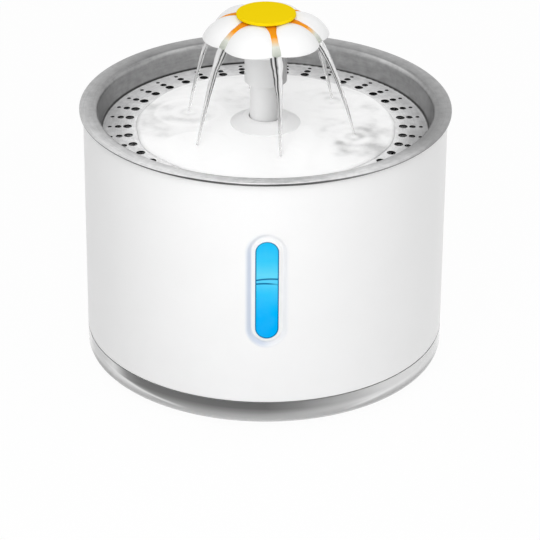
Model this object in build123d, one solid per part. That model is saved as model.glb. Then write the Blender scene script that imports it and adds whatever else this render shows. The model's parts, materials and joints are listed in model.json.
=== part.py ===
from build123d import *

import os
from math import cos, radians, tan

# Pet water fountain: a round clear tank in a white sleeve, a steel drinking tray on top, and a
# submersible pump that lifts water through a pipe into a six-petal flower. Millimetres, +Z up,
# origin at the bottom centre, level window towards -Y.

# ---- Clearances ----
SEAT_GAP = 0.3  # between pieces that lift off each other
FIXED_FIT = 0.1  # round a piece that is bonded or pressed in
RUN_FIT = 0.06  # radial play of a turning or sliding fit

# ---- Tank ----
TANK_R = 93.0
TANK_WALL = 2.2
FLOOR_T = 2.5
FLOOR_CORNER_R = 4.0
FOOT_STAND = 2.0  # floor underside above the ground
BASE_H = 13.0  # clear ring that shows below the sleeve
BASE_CORNER_R = 4.5
RIB_COUNT = 6
RIB_DEPTH = 4.0
RIB_T = 3.0
BASKET_SEAT_Z = 109.7  # top of the ribs

# ---- Sleeve and level window ----
SLEEVE_WALL = 2.5
SLEEVE_GAP = 0.3
SLEEVE_H = 120.2
SLEEVE_EDGE = 0.6
WINDOW_W = 11.7
WINDOW_H = 53.6
WINDOW_Z = 78.0
WINDOW_INSET = 0.5
BEZEL_W = 0.8
BEZEL_INSET = 0.2
RECESS_W = 20.5
RECESS_H = 62.0
RECESS_DEPTH = 1.5
RECESS_SLOPE = 50.0

# ---- Feet and rear grommet ----
FOOT_COUNT = 4
FOOT_R = 6.0
FOOT_INSET = 15.0  # middle of a foot to the edge of the base
FOOT_SOCKET = 0.6
FOOT_ROUND = 0.7
NOTCH_W = 12.0
NOTCH_DEPTH = 8.0
NOTCH_ROUND = 2.5
CABLE_DROP = 4.0  # middle of the cable bore below the tank rim
GROMMET_LIP = 2.0
GROMMET_LIP_T = 1.3
CABLE_BORE_R = 2.1

# ---- Filter and its basket ----
FILTER_R = 67.5
FILTER_HOLE_R = 19.0
FILTER_H = 12.0
FILTER_PLAY = 0.5
FRAME_WALL = 1.6
FRAME_LIP = 1.3
FRAME_LIP_T = 1.0
PACK_COUNT = 4
PACK_ROUND = 3.0
PACK_EDGE = 1.5
BASKET_PLAY = 0.5  # basket flange to the grommet's inner lip
BASKET_WALL = 2.0
BASKET_EDGE = 0.8
SLOT_COUNT = 24
SLOT_W = 2.6
SLOT_BAND = 3.0  # solid band left beside each ring of slots
PIPE_PLAY = 0.6

# ---- Steel tray ----
RIM_OVERHANG = 2.0  # steel rim beyond the sleeve
HEM_T = 1.6
HEM_W = 4.0
HEM_ROUND = 0.7
SHEET_T = 0.8
FLANGE_W = 9.3
FLANGE_FALL = 0.4
DISH_DRAFT = 1.6  # top of the dish wall beyond its foot
DISH_DEPTH = 12.9
DISH_RISE = 1.9  # middle of the floor above its edge
DISH_BEND_R = 1.4
SHOULDER_R = 3.0  # from the flange down into the dish
TRAY_HOLE_R = 14.0
DRAIN_ROWS = 40
DRAIN_INSET = 4.4  # outer ring of holes to the foot of the wall
DRAIN_OUTER_STEP = 4.3
DRAIN_INNER_STEP = 4.8
DRAIN_LARGE_D = 4.5
DRAIN_MEDIUM_D = 3.4
DRAIN_SMALL_D = 2.1
COLLAR_R = 18.0
COLLAR_H = 4.6
COLLAR_EDGE = 1.2
COLLAR_TOP_R = 11.5
COLLAR_LIP = 2.0
COLLAR_SKIRT = 2.2
COLLAR_ROUND = 0.7
COLLAR_SNAP = 0.2  # play of the collar on the sheet

# ---- Pipe and flower ----
PIPE_R = 8.0
PIPE_WALL = 2.0
STEM_R = 10.8
STEM_GAP = 15.0  # stem's lower edge above the tank rim
STEM_ENGAGE = 14.8
STEM_H = 31.5
STEM_EDGE = 0.5
PETAL_COUNT = 6
PETAL_TURN = -110.0  # direction of the first petal, degrees from +X
LOBE_R = 18.0
LOBE_OFFSET = 16.0
LOBE_WALL = 1.6
LOBE_CENTRE_H = 17.2  # lobe centres above the stem's lower edge
LIP_H = 7.1  # lip above the lobe centres
LIP_ROUND = 0.5
HUB_WALL = 1.6
HUB_SKIRT = 8.0
CAP_R = 15.1
CAP_T = 1.8
CAP_ROUND = 0.7
CAP_FIN_COUNT = 3
CAP_FIN_T = 1.6
CAP_FIN_L = 9.0

# ---- Pump ----
CUP_R = 6.0
CUP_H = 5.0
CUP_NECK_R = 2.6
CUP_STUD_R = 1.5
CUP_STUD_H = 1.5
CUP_RIM = 1.2
CUP_EDGE = 0.6
CUP_HOLLOW = 1.7
CUP_WAIST_H = 3.0
CUP_WAIST_ROUND = 1.0
MOTOR_L = 28.0
MOTOR_CORNER_R = 4.0
PUMP_WALL = 2.0
SHAFT_H = 28.0  # shaft above the underside of the block
CHAMBER_R = 12.5
VOLUTE_WALL = 2.5
OUTLET_BORE_R = 4.0
TOWER_H = 23.0
TOWER_COLLAR_H = 3.0
SPIGOT_H = 12.0
SHOE_T = 2.5
SHOE_REACH = 10.0
ROOF_T = 6.0
MAGNET_R = 5.5
MAGNET_GAP = 0.6
MAGNET_SETBACK = 4.4  # magnet's rear face from the end of the well
WELL_WALL = 1.2
WELL_SETBACK = 4.0  # end of the well from the back of the block
SHAFT_R = 1.0
BUSH_R = 2.2
BUSH_L = 2.0
BUSH_SEAT = 0.6  # rear bush sunk into the end of the well
QUILL_R = 2.5  # impeller tube that carries the magnet
BLADE_COUNT = 6
BLADE_R = 11.2
BLADE_T = 1.1
BLADE_H = 6.5
BLADE_SWEEP = 2.4
BLADE_BEND_R = 6.7  # where the sweep is widest
COVER_T = 2.0
INLET_R = 7.0
COVER_BOSS_R = 3.4
COVER_ARMS = 3
ARM_W = 1.6

# ---- Motor windings ----
COIL_ROOM = 1.1  # between the winding and the front wall of the block
CORE_HALF_W = 12.6
CORE_LIMB = 5.0
YOKE_H = 5.0
YOKE_Z = 6.0  # yoke underside above the underside of the block
BOBBIN_T = 0.8
WINDING_T = 2.6
POT_INSET = 1.5
GLAND_R = 4.0
GLAND_L = 6.0
GLAND_H = 8.0
GLAND_FLANGE_L = 2.0
GLAND_TIP_WALL = 1.0
GLAND_ROUND = 0.3

# ---- Intake cover and flow dial ----
INTAKE_L = 26.0
INTAKE_WALL = 2.0
INTAKE_FIT = 0.4
GRILLE_IN_R = 4.0
GRILLE_OUT_R = 9.5
GRILLE_CELLS = 6
GRILLE_ANGLE = 30.0
DIAL_R = 11.0
DIAL_T = 1.8
DIAL_GRIP_H = 2.5
DIAL_GRIP_W = 2.2
DIAL_GRIP_ROUND = 1.0
DIAL_PIN_R = 2.4

# ---- Light ----
LED_POCKET_R = 6.8
LED_POCKET_H = 4.0
LED_BOARD_T = 1.0
LED_COUNT = 3
LED_W = 2.8
LED_T = 1.2
LED_RING_R = 3.4
LENS_WALL = 1.0
LENS_RISE = 2.8

# ---- Levels and radii that follow ----
base_top = FOOT_STAND + BASE_H
floor_top = FOOT_STAND + FLOOR_T
rim_z = base_top + SLEEVE_H
foot_ring_r = TANK_R - FOOT_INSET
bucket_r = TANK_R - SLEEVE_WALL - SLEEVE_GAP
tank_inner_r = bucket_r - TANK_WALL
sleeve_inner_r = TANK_R - SLEEVE_WALL
flange_z = BASKET_SEAT_Z + SEAT_GAP
flange_r = tank_inner_r - GROMMET_LIP_T - BASKET_PLAY
filter_top = flange_z + BASKET_WALL
filter_z = filter_top - FILTER_H
basket_floor_top = filter_z - SEAT_GAP
rim_r = TANK_R + RIM_OVERHANG
tray_top = rim_z + SEAT_GAP + HEM_T
dish_z = tray_top - DISH_DEPTH
dish_top_r = rim_r - FLANGE_W
dish_r = dish_top_r - DISH_DRAFT
drain_outer_r = dish_r - DRAIN_INSET
drain_middle_r = drain_outer_r - DRAIN_OUTER_STEP
drain_inner_r = drain_middle_r - DRAIN_INNER_STEP
stem_z = rim_z + STEM_GAP
stem_top = stem_z + STEM_H
pipe_top = stem_z + STEM_ENGAGE
pipe_bore_r = PIPE_R - PIPE_WALL
stem_bore_r = PIPE_R + RUN_FIT
lobe_z = stem_z + LOBE_CENTRE_H
crest_z = lobe_z + LOBE_R
pump_z = floor_top + SEAT_GAP + CUP_H
shaft_z = pump_z + SHAFT_H
drum_r = CHAMBER_R + VOLUTE_WALL
motor_half = drum_r + INTAKE_FIT + INTAKE_WALL
tower_r = OUTLET_BORE_R + VOLUTE_WALL
shaft_x = OUTLET_BORE_R - CHAMBER_R  # outlet bore runs tangent to the volute
chamber_back = tower_r  # the volute is as deep as its outlet is wide
chamber_front = -tower_r
motor_back = chamber_back + MOTOR_L
well_r = MAGNET_R + MAGNET_GAP
well_end = motor_back - WELL_SETBACK
tower_top = shaft_z + TOWER_H
magnet_y = chamber_back + MAGNET_GAP
magnet_back = well_end - MAGNET_SETBACK
core_inset = VOLUTE_WALL + COIL_ROOM + WINDING_T + BOBBIN_T
core_front = chamber_back + core_inset
core_back = motor_back - core_inset
motor_top = shaft_z + motor_half
cover_front = chamber_back - SEAT_GAP - INTAKE_L
dial_y = cover_front - SEAT_GAP
pocket_y = chamber_back + MOTOR_L / 2
pocket_z = motor_top - LED_POCKET_H
cable_z = rim_z - CABLE_DROP


def turned(*corners):
    """Revolve a closed outline about Z. Each corner is (radius, height, rounding)."""
    points = [(radius, height) for radius, height, _ in corners]
    outline = FilletPolyline(*points, radius=[rounding for *_, rounding in corners], close=True)
    return revolve(Plane.XZ * make_face(outline), Axis.Z)


def tube(outer_r, inner_r, low, high):
    """Upright ring between two heights."""
    ring = Cylinder(outer_r, high - low) - Cylinder(inner_r, high - low)
    return Pos(0, 0, (low + high) / 2) * ring


def rod_y(radius, front, back, x=shaft_x, z=shaft_z):
    """Cylinder along Y, by default on the pump's shaft line."""
    return Pos(x, (front + back) / 2, z) * Rot(X=90) * Cylinder(radius, back - front)


def block(x_low, x_high, y_low, y_high, z_low, z_high):
    """Box between six limits."""
    middle = Pos((x_low + x_high) / 2, (y_low + y_high) / 2, (z_low + z_high) / 2)
    return middle * Box(x_high - x_low, y_high - y_low, z_high - z_low)


def around(shape, count, first=0.0):
    """Copies of a shape, evenly turned about Z."""
    return [Rot(Z=first + 360 / count * i) * shape for i in range(count)]


def around_shaft(shape, count, first=0.0):
    """Copies of a shape, evenly turned about the pump's shaft."""
    axis = Pos(shaft_x, 0, shaft_z)
    return [axis * Rot(Y=first + 360 / count * i) * axis.inverse() * shape for i in range(count)]


# ---- Tank, sleeve and what is fixed to them ----


def rear_notch(grow=0.0):
    """Prism through the rear wall, open at the rim and round at its lower corners."""
    half = NOTCH_W / 2 + grow
    reach = SLEEVE_WALL + GROMMET_LIP_T
    slot = block(-half, half, tank_inner_r - reach, TANK_R + reach, rim_z - NOTCH_DEPTH - grow, rim_z)
    return fillet(slot.edges().filter_by(Axis.Y).group_by(Axis.Z)[0], NOTCH_ROUND + grow)


def water_tank():
    shape = turned(
        (0, FOOT_STAND, 0),
        (TANK_R, FOOT_STAND, BASE_CORNER_R),
        (TANK_R, base_top, 0),
        (bucket_r, base_top, 0),
        (bucket_r, rim_z, 0),
        (tank_inner_r, rim_z, 0),
        (tank_inner_r, floor_top, FLOOR_CORNER_R),
        (0, floor_top, 0),
    )
    half = RIB_T / 2
    rib = block(tank_inner_r - RIB_DEPTH, tank_inner_r + TANK_WALL / 2, -half, half,
                floor_top - FLOOR_T / 2, BASKET_SEAT_Z)
    socket = Pos(foot_ring_r, 0, FOOT_STAND) * Cylinder(FOOT_R, 2 * FOOT_SOCKET)
    shape += around(rib, RIB_COUNT)
    shape -= around(socket, FOOT_COUNT, 45)
    return shape - rear_notch()


def stadium_prism(width, height, slope=0.0):
    """Upright stadium pushed out through the front wall, wider outwards where it slopes."""
    start = Plane.XZ.offset(sleeve_inner_r - SLEEVE_WALL) * Pos(0, WINDOW_Z)
    spread = 2 * (TANK_R - sleeve_inner_r + SLEEVE_WALL) * tan(radians(slope))
    outline = SlotOverall(height - spread, width - spread, rotation=90)
    return extrude(start * outline, amount=3 * SLEEVE_WALL, taper=-slope)


def outer_shell():
    shape = turned(
        (sleeve_inner_r, base_top, 0),
        (TANK_R, base_top, SLEEVE_EDGE),
        (TANK_R, rim_z, SLEEVE_EDGE),
        (sleeve_inner_r, rim_z, 0),
    )
    sunk_r = TANK_R - RECESS_DEPTH
    full_height = tube(2 * TANK_R, sunk_r, base_top, rim_z)
    shape -= stadium_prism(RECESS_W, RECESS_H, RECESS_SLOPE) & full_height
    bezel = stadium_prism(WINDOW_W + 2 * BEZEL_W, WINDOW_H + 2 * BEZEL_W)
    shape += bezel & tube(TANK_R - BEZEL_INSET, sleeve_inner_r, base_top, rim_z)
    shape -= stadium_prism(WINDOW_W, WINDOW_H)
    return shape - rear_notch()


def level_window():
    lens = stadium_prism(WINDOW_W - 2 * FIXED_FIT, WINDOW_H - 2 * FIXED_FIT)
    return lens & tube(TANK_R - WINDOW_INSET, sleeve_inner_r, base_top, rim_z)


def cable_grommet():
    """Rubber bush whose two lips straddle the tank wall and the sleeve."""
    wall = tube(TANK_R + FIXED_FIT, tank_inner_r - FIXED_FIT, base_top, rim_z)
    neck = rear_notch(-FIXED_FIT)
    lips = rear_notch(GROMMET_LIP) - wall
    span = tube(TANK_R + GROMMET_LIP_T, tank_inner_r - GROMMET_LIP_T, base_top, rim_z - SEAT_GAP)
    bore = rod_y(CABLE_BORE_R, 0, 2 * TANK_R, x=0, z=cable_z)
    return (neck + lips) & span - bore


def foot_pad(index):
    pad = turned(
        (0, 0, 0),
        (FOOT_R - FIXED_FIT, 0, FOOT_ROUND),
        (FOOT_R - FIXED_FIT, FOOT_STAND + FOOT_SOCKET, 0),
        (0, FOOT_STAND + FOOT_SOCKET, 0),
    )
    return Rot(Z=45 + 360 / FOOT_COUNT * index) * Pos(foot_ring_r, 0, 0) * pad


# ---- Filter and basket ----


def filter_basket():
    """Round basket that hangs on the tank's ribs, with a hub that the pipe passes."""
    wall_in = FILTER_R + FILTER_PLAY
    wall_out = wall_in + BASKET_WALL
    hub_r = FILTER_HOLE_R - FILTER_PLAY
    floor_z = basket_floor_top - BASKET_WALL
    hub_top = filter_top + BASKET_WALL
    shape = turned(
        (flange_r, flange_z, 0),
        (flange_r, filter_top, BASKET_EDGE),
        (wall_in, filter_top, BASKET_EDGE),
        (wall_in, basket_floor_top, 0),
        (hub_r, basket_floor_top, 0),
        (hub_r, hub_top, BASKET_WALL),
        (PIPE_R + PIPE_PLAY, hub_top, 0),
        (PIPE_R + PIPE_PLAY, hub_top - BASKET_WALL, 0),
        (hub_r - BASKET_WALL, hub_top - BASKET_WALL, BASKET_WALL / 2),
        (hub_r - BASKET_WALL, floor_z, 0),
        (wall_out, floor_z, BASKET_WALL),
        (wall_out, flange_z, BASKET_WALL / 2),
    )
    middle_r = (hub_r + wall_in) / 2
    gap = SLOT_BAND / 2
    half = SLOT_W / 2
    inner = block(hub_r + SLOT_BAND, middle_r - gap, -half, half, floor_z, basket_floor_top)
    outer = block(middle_r + gap, wall_in - SLOT_BAND, -half, half, floor_z, basket_floor_top)
    shape -= around(inner, SLOT_COUNT)
    return shape - around(outer, SLOT_COUNT, 180 / SLOT_COUNT)


def filter_frame():
    """Two rings joined by crossed bars, with a lip that carries the packs."""
    outer_in = FILTER_R - FRAME_WALL
    inner_out = FILTER_HOLE_R + FRAME_WALL
    lip_top = filter_z + FRAME_LIP_T
    shape = tube(FILTER_R, outer_in, filter_z, filter_top)
    shape += tube(inner_out, FILTER_HOLE_R, filter_z, filter_top)
    shape += tube(FILTER_R, outer_in - FRAME_LIP, filter_z, lip_top)
    shape += tube(inner_out + FRAME_LIP, FILTER_HOLE_R, filter_z, lip_top)
    half = FRAME_WALL / 2
    bar = block(FILTER_HOLE_R + half, FILTER_R - half, -half, half, filter_z, filter_top)
    return shape + around(bar, PACK_COUNT, 45)


def filter_pack(index):
    """Sector of fleece and carbon between two bars of the frame."""
    outer_r = FILTER_R - FRAME_WALL - FIXED_FIT
    inner_r = FILTER_HOLE_R + FRAME_WALL + FIXED_FIT
    low = filter_z + FRAME_LIP_T + FIXED_FIT
    ring = tube(outer_r, inner_r, low, filter_top - FIXED_FIT)
    offset = (FRAME_WALL / 2 + FIXED_FIT) / cos(radians(45))
    wedge = Polygon((offset, 0), (2 * FILTER_R, offset - 2 * FILTER_R),
                    (2 * FILTER_R, 2 * FILTER_R - offset), align=None)
    sector = ring & Pos(0, 0, low) * extrude(wedge, FILTER_H)
    sector = fillet(sector.edges().filter_by(Axis.Z), PACK_ROUND)
    upper = sector.faces().sort_by(Axis.Z)[-1]
    sector = fillet(upper.edges(), PACK_EDGE)
    return Rot(Z=360 / PACK_COUNT * index) * sector


# ---- Steel tray ----


def steel_tray():
    hem_in = rim_r - HEM_W
    top_of_wall = tray_top - FLANGE_FALL
    middle_z = dish_z + DISH_RISE
    shape = turned(
        (TRAY_HOLE_R, middle_z, 0),
        (dish_r, dish_z, DISH_BEND_R),
        (dish_top_r, top_of_wall, SHOULDER_R),
        (rim_r, tray_top, HEM_ROUND),
        (rim_r, tray_top - HEM_T, HEM_ROUND),
        (hem_in, tray_top - HEM_T, 0),
        (hem_in, top_of_wall - SHEET_T, 0),
        (dish_top_r + SHEET_T, top_of_wall - SHEET_T, SHOULDER_R - SHEET_T),
        (dish_r + SHEET_T, dish_z - SHEET_T, DISH_BEND_R + SHEET_T),
        (TRAY_HOLE_R, middle_z - SHEET_T, 0),
    )
    rings = (
        (drain_inner_r, DRAIN_LARGE_D),
        (drain_middle_r, DRAIN_MEDIUM_D),
        (drain_outer_r, DRAIN_SMALL_D),
    )
    for ring_r, diameter in rings:
        drill = Pos(ring_r, 0, dish_z) * Cylinder(diameter / 2, 4 * DISH_RISE)
        shape -= around(drill, DRAIN_ROWS)
    return shape


def tray_collar():
    """Snap-in collar that closes the tray round the pipe."""
    seat_z = dish_z + DISH_RISE + FIXED_FIT
    lip_z = dish_z + DISH_RISE - SHEET_T - COLLAR_SNAP
    bore_r = PIPE_R + PIPE_PLAY
    neck_r = TRAY_HOLE_R - FIXED_FIT
    return turned(
        (bore_r, lip_z - COLLAR_SKIRT, 0),
        (neck_r + COLLAR_LIP, lip_z - COLLAR_SKIRT, COLLAR_ROUND),
        (neck_r + COLLAR_LIP, lip_z, 0),
        (neck_r, lip_z, 0),
        (neck_r, seat_z, 0),
        (COLLAR_R, seat_z, 0),
        (COLLAR_R, seat_z + COLLAR_EDGE, COLLAR_ROUND),
        (COLLAR_TOP_R, seat_z + COLLAR_H, COLLAR_EDGE),
        (bore_r, seat_z + COLLAR_H, 0),
    )


# ---- Flower ----


def lobes(radius):
    """Six balls round the stem; together they make the petals."""
    ball = Pos(LOBE_OFFSET, 0, lobe_z) * Sphere(radius)
    balls = around(ball, PETAL_COUNT, PETAL_TURN)
    return balls[0].fuse(*balls[1:])


def flower_petals():
    outside = lobes(LOBE_R)
    room = lobes(LOBE_R - LOBE_WALL)
    lip_z = lobe_z + LIP_H
    reach = LOBE_OFFSET + LOBE_R
    above_lip = block(-reach, reach, -reach, reach, lip_z, crest_z)
    dome = (outside - room) & above_lip
    dome = fillet(dome.edges().group_by(Axis.Z)[0], LIP_ROUND)
    hub_r = STEM_R + FIXED_FIT / 2
    hub_low = lip_z - HUB_SKIRT
    hub = Pos(0, 0, (hub_low + crest_z) / 2) * Cylinder(hub_r + HUB_WALL, crest_z - hub_low)
    dome += hub & outside
    return dome - Pos(0, 0, crest_z) * Cylinder(hub_r, 2 * (crest_z - hub_low + HUB_WALL))


def flower_stem():
    """Sleeve over the pipe; its inner shoulder stands on the pipe's end."""
    shoulder = pipe_top + SEAT_GAP
    return turned(
        (stem_bore_r, stem_z, 0),
        (STEM_R, stem_z, STEM_EDGE),
        (STEM_R, stem_top, STEM_EDGE),
        (pipe_bore_r, stem_top, 0),
        (pipe_bore_r, shoulder, 0),
        (stem_bore_r, shoulder, 0),
    )


def flower_cap():
    """Disc that spreads the water, held by three fins in the stem's bore."""
    low = crest_z + SEAT_GAP / 2
    disc = turned(
        (0, low, 0),
        (CAP_R, low, CAP_ROUND),
        (CAP_R, low + CAP_T, CAP_ROUND),
        (0, low + CAP_T, 0),
    )
    half = CAP_FIN_T / 2
    fin_low = stem_top - CAP_FIN_L
    fin = block(0, pipe_bore_r - RUN_FIT, -half, half, fin_low, low + CAP_T / 2)
    return disc + around(fin, CAP_FIN_COUNT, PETAL_TURN)


# ---- Pump ----


def motor_cavity():
    """Room for the windings, open at the back."""
    half = motor_half - PUMP_WALL
    return block(shaft_x - half, shaft_x + half, chamber_back + VOLUTE_WALL, motor_back,
                 pump_z + PUMP_WALL, motor_top - ROOF_T)


def rotor_well(wall=0.0):
    return rod_y(well_r + wall, chamber_back, well_end + wall)


def cup_places():
    """Stud centres of the four suction cups."""
    x_step = motor_half - CUP_R
    front = chamber_front - SHOE_REACH + CUP_R
    back = motor_back - CUP_R
    return [(shaft_x + side * x_step, y) for y in (front, back) for side in (-1, 1)]


def outlet_tower():
    """Outlet with a collar that the pipe stands on and a spigot inside it."""
    spigot_r = pipe_bore_r - FIXED_FIT / 2
    collar_low = tower_top - TOWER_COLLAR_H
    return turned(
        (0, shaft_z, 0),
        (tower_r, shaft_z, 0),
        (tower_r, collar_low, 0),
        (PIPE_R, collar_low, 0),
        (PIPE_R, tower_top, 0),
        (spigot_r, tower_top, 0),
        (spigot_r, tower_top + SPIGOT_H, 0),
        (0, tower_top + SPIGOT_H, 0),
    )


def pump_housing():
    low_x, high_x = shaft_x - motor_half, shaft_x + motor_half
    body = block(low_x, high_x, chamber_back, motor_back, pump_z, motor_top)
    body = fillet(body.edges().filter_by(Axis.Y), MOTOR_CORNER_R)
    inner = motor_half - INTAKE_WALL - INTAKE_FIT
    body += block(shaft_x - inner, shaft_x + inner, chamber_front - SHOE_REACH, chamber_back,
                  pump_z, pump_z + SHOE_T)
    body += rod_y(drum_r, chamber_front, chamber_back)
    body += block(shaft_x - VOLUTE_WALL, shaft_x + VOLUTE_WALL, chamber_front, chamber_back,
                  pump_z, shaft_z - CHAMBER_R - VOLUTE_WALL / 2)
    body += outlet_tower()
    body -= motor_cavity() - rotor_well(WELL_WALL)
    body -= rotor_well()
    body -= rod_y(CHAMBER_R, chamber_front, chamber_back)
    rise = tower_top + SPIGOT_H - shaft_z
    body -= Pos(0, 0, shaft_z + rise / 2) * Cylinder(OUTLET_BORE_R, rise)
    body -= rod_y(BUSH_R, well_end, well_end + BUSH_SEAT)
    body -= Pos(shaft_x, pocket_y, pocket_z + LED_POCKET_H / 2) * Cylinder(LED_POCKET_R, LED_POCKET_H)
    stud_hole = Cylinder(CUP_STUD_R, 2 * CUP_STUD_H)
    return body - [Pos(x, y, pump_z) * stud_hole for x, y in cup_places()]


def stator_core():
    """U of laminations; its two pole faces hug the rotor well."""
    z_low = pump_z + YOKE_Z
    z_high = shaft_z + well_r
    inside = CORE_HALF_W - CORE_LIMB
    outer = block(shaft_x - CORE_HALF_W, shaft_x + CORE_HALF_W, core_front, core_back, z_low, z_high)
    outer -= block(shaft_x - inside, shaft_x + inside, core_front, core_back, z_low + YOKE_H, z_high)
    return outer - rotor_well(WELL_WALL + FIXED_FIT)


def yoke_box(grow, end=0.0):
    """Box round the yoke, between the limbs, grown by a thickness."""
    inside = CORE_HALF_W - CORE_LIMB - FIXED_FIT - end
    z_low = pump_z + YOKE_Z
    return block(shaft_x - inside, shaft_x + inside, core_front - grow, core_back + grow,
                 z_low - grow, z_low + YOKE_H + grow)


def coil_bobbin():
    spool = yoke_box(BOBBIN_T + FIXED_FIT)
    flanges = yoke_box(BOBBIN_T + WINDING_T + FIXED_FIT)
    flanges -= yoke_box(BOBBIN_T + WINDING_T + 2 * FIXED_FIT, BOBBIN_T)
    return spool + flanges - yoke_box(FIXED_FIT)


def coil_winding():
    wire = fillet(yoke_box(BOBBIN_T + WINDING_T, BOBBIN_T).edges().filter_by(Axis.X), WINDING_T / 2)
    return wire - yoke_box(BOBBIN_T + FIXED_FIT)


def potting_resin():
    """Cast resin that fills the motor block round the windings."""
    fill = motor_cavity() - rotor_well(WELL_WALL)
    fill -= block(shaft_x - motor_half, shaft_x + motor_half, motor_back - POT_INSET, motor_back,
                  pump_z, motor_top)
    return fill - stator_core() - yoke_box(BOBBIN_T + WINDING_T + FIXED_FIT)


def pump_gland():
    base_y = motor_back - POT_INSET
    z = pump_z + GLAND_H
    body = turned(
        (CABLE_BORE_R, 0, 0),
        (GLAND_R, 0, 0),
        (GLAND_R, GLAND_FLANGE_L, 2 * GLAND_ROUND),
        (CABLE_BORE_R + GLAND_TIP_WALL, GLAND_L, GLAND_ROUND),
        (CABLE_BORE_R, GLAND_L, 0),
    )
    return Pos(shaft_x, base_y, z) * Rot(X=-90) * body


def volute_cover():
    """Front wall of the volute: an inlet crossed by three arms that hold the front bush."""
    front = chamber_front - COVER_T
    plate = rod_y(drum_r, front, chamber_front) - rod_y(INLET_R, front, chamber_front)
    half = ARM_W / 2
    arm = block(shaft_x, shaft_x + INLET_R + half, front, chamber_front, shaft_z - half, shaft_z + half)
    plate += around_shaft(arm, COVER_ARMS)
    plate += rod_y(COVER_BOSS_R, front, chamber_front)
    return plate - rod_y(BUSH_R + FIXED_FIT / 2, front, chamber_front)


def shaft_bush(front, back):
    return rod_y(BUSH_R, front, back) - rod_y(SHAFT_R + FIXED_FIT / 2, front, back)


def shaft_bush_front():
    front = chamber_front - COVER_T
    return shaft_bush(front, front + BUSH_L)


def shaft_bush_rear():
    back = well_end + BUSH_SEAT
    return shaft_bush(back - BUSH_L, back)


def rotor_shaft():
    return rod_y(SHAFT_R, chamber_front - COVER_T, well_end + BUSH_SEAT)


def rotor_magnet():
    bore_r = QUILL_R + FIXED_FIT / 2
    return rod_y(MAGNET_R, magnet_y, magnet_back) - rod_y(bore_r, magnet_y, magnet_back)


def impeller():
    """Swept blades on a quill that runs on the fixed shaft and carries the magnet."""
    front = chamber_front + MAGNET_GAP
    middle = (front + magnet_y) / 2
    sweep = ThreePointArc((SHAFT_R + RUN_FIT, 0), (BLADE_BEND_R, BLADE_SWEEP), (BLADE_R, 0))
    start = Plane((shaft_x, front, shaft_z), x_dir=(1, 0, 0), z_dir=(0, 1, 0))
    blade = extrude(start * trace(sweep, BLADE_T), BLADE_H)
    shape = rod_y(QUILL_R, front, magnet_back)
    shape += rod_y(QUILL_R + BLADE_T, front, middle)
    shape += around_shaft(blade, BLADE_COUNT)
    return shape - rod_y(SHAFT_R + RUN_FIT, front, magnet_back)


def spout_pipe():
    return tube(PIPE_R, pipe_bore_r, tower_top, pipe_top)


def suction_cup(place):
    x, y = place
    stud_top = CUP_H + CUP_STUD_H - FIXED_FIT
    cup = turned(
        (0, CUP_HOLLOW, 0),
        (CUP_R - CUP_RIM, 0, 0),
        (CUP_R, 0, 0),
        (CUP_R, CUP_EDGE, 0),
        (CUP_NECK_R, CUP_WAIST_H, CUP_WAIST_ROUND),
        (CUP_NECK_R, CUP_H, 0),
        (CUP_STUD_R - FIXED_FIT, CUP_H, 0),
        (CUP_STUD_R - FIXED_FIT, stud_top, 0),
        (0, stud_top, 0),
    )
    return Pos(x, y, pump_z - CUP_H) * cup


# ---- Intake cover and dial ----


def grille_cells(front, back):
    """Ring of sector openings round the shaft line."""
    ring = rod_y(GRILLE_OUT_R, front, back) - rod_y(GRILLE_IN_R, front, back)
    spread = 2 * GRILLE_OUT_R * tan(radians(GRILLE_ANGLE / 2))
    wedge = Polygon((0, 0), (2 * GRILLE_OUT_R, -spread), (2 * GRILLE_OUT_R, spread), align=None)
    start = Plane((shaft_x, front, shaft_z), x_dir=(1, 0, 0), z_dir=(0, 1, 0))
    cell = ring & extrude(start * wedge, back - front)
    return around_shaft(cell, GRILLE_CELLS)


def intake_cover():
    """Hood over the volute, open below and behind, with a slot that lets the outlet pass."""
    back = chamber_back - SEAT_GAP
    hood = block(shaft_x - motor_half, shaft_x + motor_half, cover_front, back, pump_z, motor_top)
    hood = fillet(hood.edges().filter_by(Axis.Y).group_by(Axis.Z)[-1], MOTOR_CORNER_R)
    inner = motor_half - INTAKE_WALL
    hood -= block(shaft_x - inner, shaft_x + inner, cover_front + INTAKE_WALL, back,
                  pump_z, motor_top - INTAKE_WALL)
    pass_r = tower_r + INTAKE_FIT
    hood -= block(-pass_r, pass_r, 0, back, motor_top - 2 * INTAKE_WALL, motor_top)
    hood -= Pos(0, 0, motor_top - INTAKE_WALL) * Cylinder(pass_r, 4 * INTAKE_WALL)
    hood -= grille_cells(cover_front, cover_front + INTAKE_WALL)
    return hood - rod_y(DIAL_PIN_R + RUN_FIT, cover_front, cover_front + INTAKE_WALL)


def flow_dial():
    front = dial_y - DIAL_T
    disc = rod_y(DIAL_R, front, dial_y)
    disc -= grille_cells(front, dial_y)
    half = DIAL_GRIP_W / 2
    grip = block(shaft_x - GRILLE_IN_R, shaft_x + GRILLE_IN_R, front - DIAL_GRIP_H, front,
                 shaft_z - half, shaft_z + half)
    disc += fillet(grip.edges().filter_by(Axis.Y), DIAL_GRIP_ROUND)
    return disc + rod_y(DIAL_PIN_R, dial_y, cover_front + INTAKE_WALL)


# ---- Light on top of the motor block ----


def led_board():
    middle = pocket_z + LED_BOARD_T / 2
    return Pos(shaft_x, pocket_y, middle) * Cylinder(LED_POCKET_R - FIXED_FIT, LED_BOARD_T)


def led(index):
    chip = Pos(LED_RING_R, 0, LED_T / 2) * Box(LED_W, LED_W, LED_T)
    return Pos(shaft_x, pocket_y, pocket_z + LED_BOARD_T) * Rot(Z=360 / LED_COUNT * index) * chip


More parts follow.
